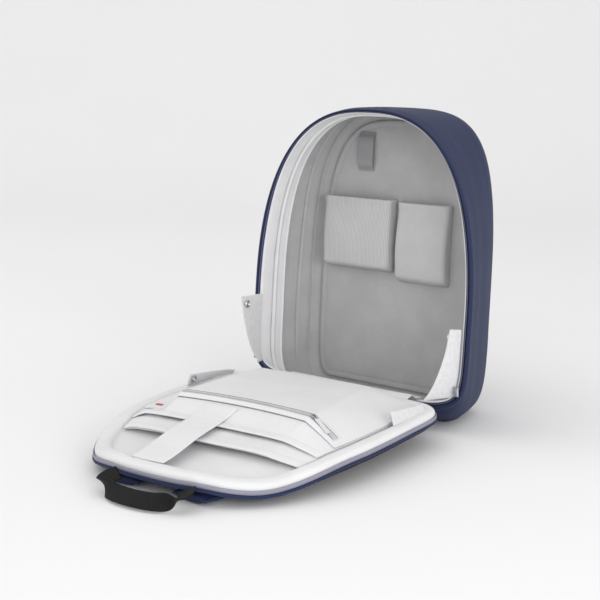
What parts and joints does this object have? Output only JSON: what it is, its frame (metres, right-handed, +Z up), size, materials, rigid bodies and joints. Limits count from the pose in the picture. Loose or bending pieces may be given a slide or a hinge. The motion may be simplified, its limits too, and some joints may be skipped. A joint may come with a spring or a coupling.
{
  "type": "anti-theft backpack standing open",
  "caption": "Open anti-theft backpack: a deep upright cloth shell with organiser pockets, hinged to a padded back panel with layered pockets, straps and a carry handle.",
  "frame": {"origin": "the flat underside of the shell, at its middle", "axes": "+Z up, -Y out of the mouth of the shell along the open panel, +X to the right seen from the open side"},
  "size_m": [0.3795, 0.6607, 0.44],
  "materials": {
    "navy_cloth": "matt dense polyester twill with a soft sheen",
    "grey_lining": "matt woven lining cloth",
    "pale_cloth": "matt pale grey lining cloth over foam",
    "felt": "mottled grey felt",
    "grey_mesh": "fine ribbed elastic mesh",
    "dark_band": "flat elastic band",
    "zip_tape": "woven zip tape with coil teeth",
    "blue_piping": "fine corded piping",
    "black_webbing": "ribbed nylon webbing",
    "black_mesh": "air mesh over foam",
    "black_plastic": "moulded acetal, lightly textured",
    "snap_metal": "satin nickel snap",
    "zip_metal": "satin zip slider",
    "red_tag": "plain woven ribbon"
  },
  "bodies": {
    "root": {"shell": "navy_cloth", "shell_lining": "grey_lining", "mouth_band_outer": "pale_cloth", "mouth_band_inner": "pale_cloth", "shell_zip_tape": "zip_tape", "shell_piping": "blue_piping", "organiser_panel": "grey_lining", "mesh_pocket": "grey_mesh", "case_pocket": "grey_lining", "cable_band": "dark_band", "shell_wing_left": "felt", "shell_wing_right": "felt", "shell_snap_left": "snap_metal", "shell_snap_right": "snap_metal", "panel_wing_left": "felt", "panel_wing_right": "felt", "panel_snap_left": "snap_metal", "panel_snap_right": "snap_metal", "hinge_lining": "pale_cloth", "hinge_cover": "navy_cloth", "main_slider_left": "zip_metal", "main_slider_right": "zip_metal", "panel_lining": "pale_cloth", "panel_board": "navy_cloth", "panel_zip_tape": "zip_tape", "panel_piping": "blue_piping", "laptop_pocket": "pale_cloth", "tablet_pocket": "pale_cloth", "phone_pocket": "pale_cloth", "zip_pocket": "pale_cloth", "pocket_zipper": "zip_tape", "zip_slider": "zip_metal", "zip_pull": "pale_cloth", "laptop_strap": "pale_cloth", "side_tag": "red_tag", "carry_handle": "black_webbing", "back_padding": "black_mesh", "shoulder_strap_left": "navy_cloth", "shoulder_strap_right": "navy_cloth", "strap_buckle_left": "black_plastic", "strap_buckle_right": "black_plastic", "strap_webbing_left": "black_webbing", "strap_webbing_right": "black_webbing"}
  },
  "joints": []
}
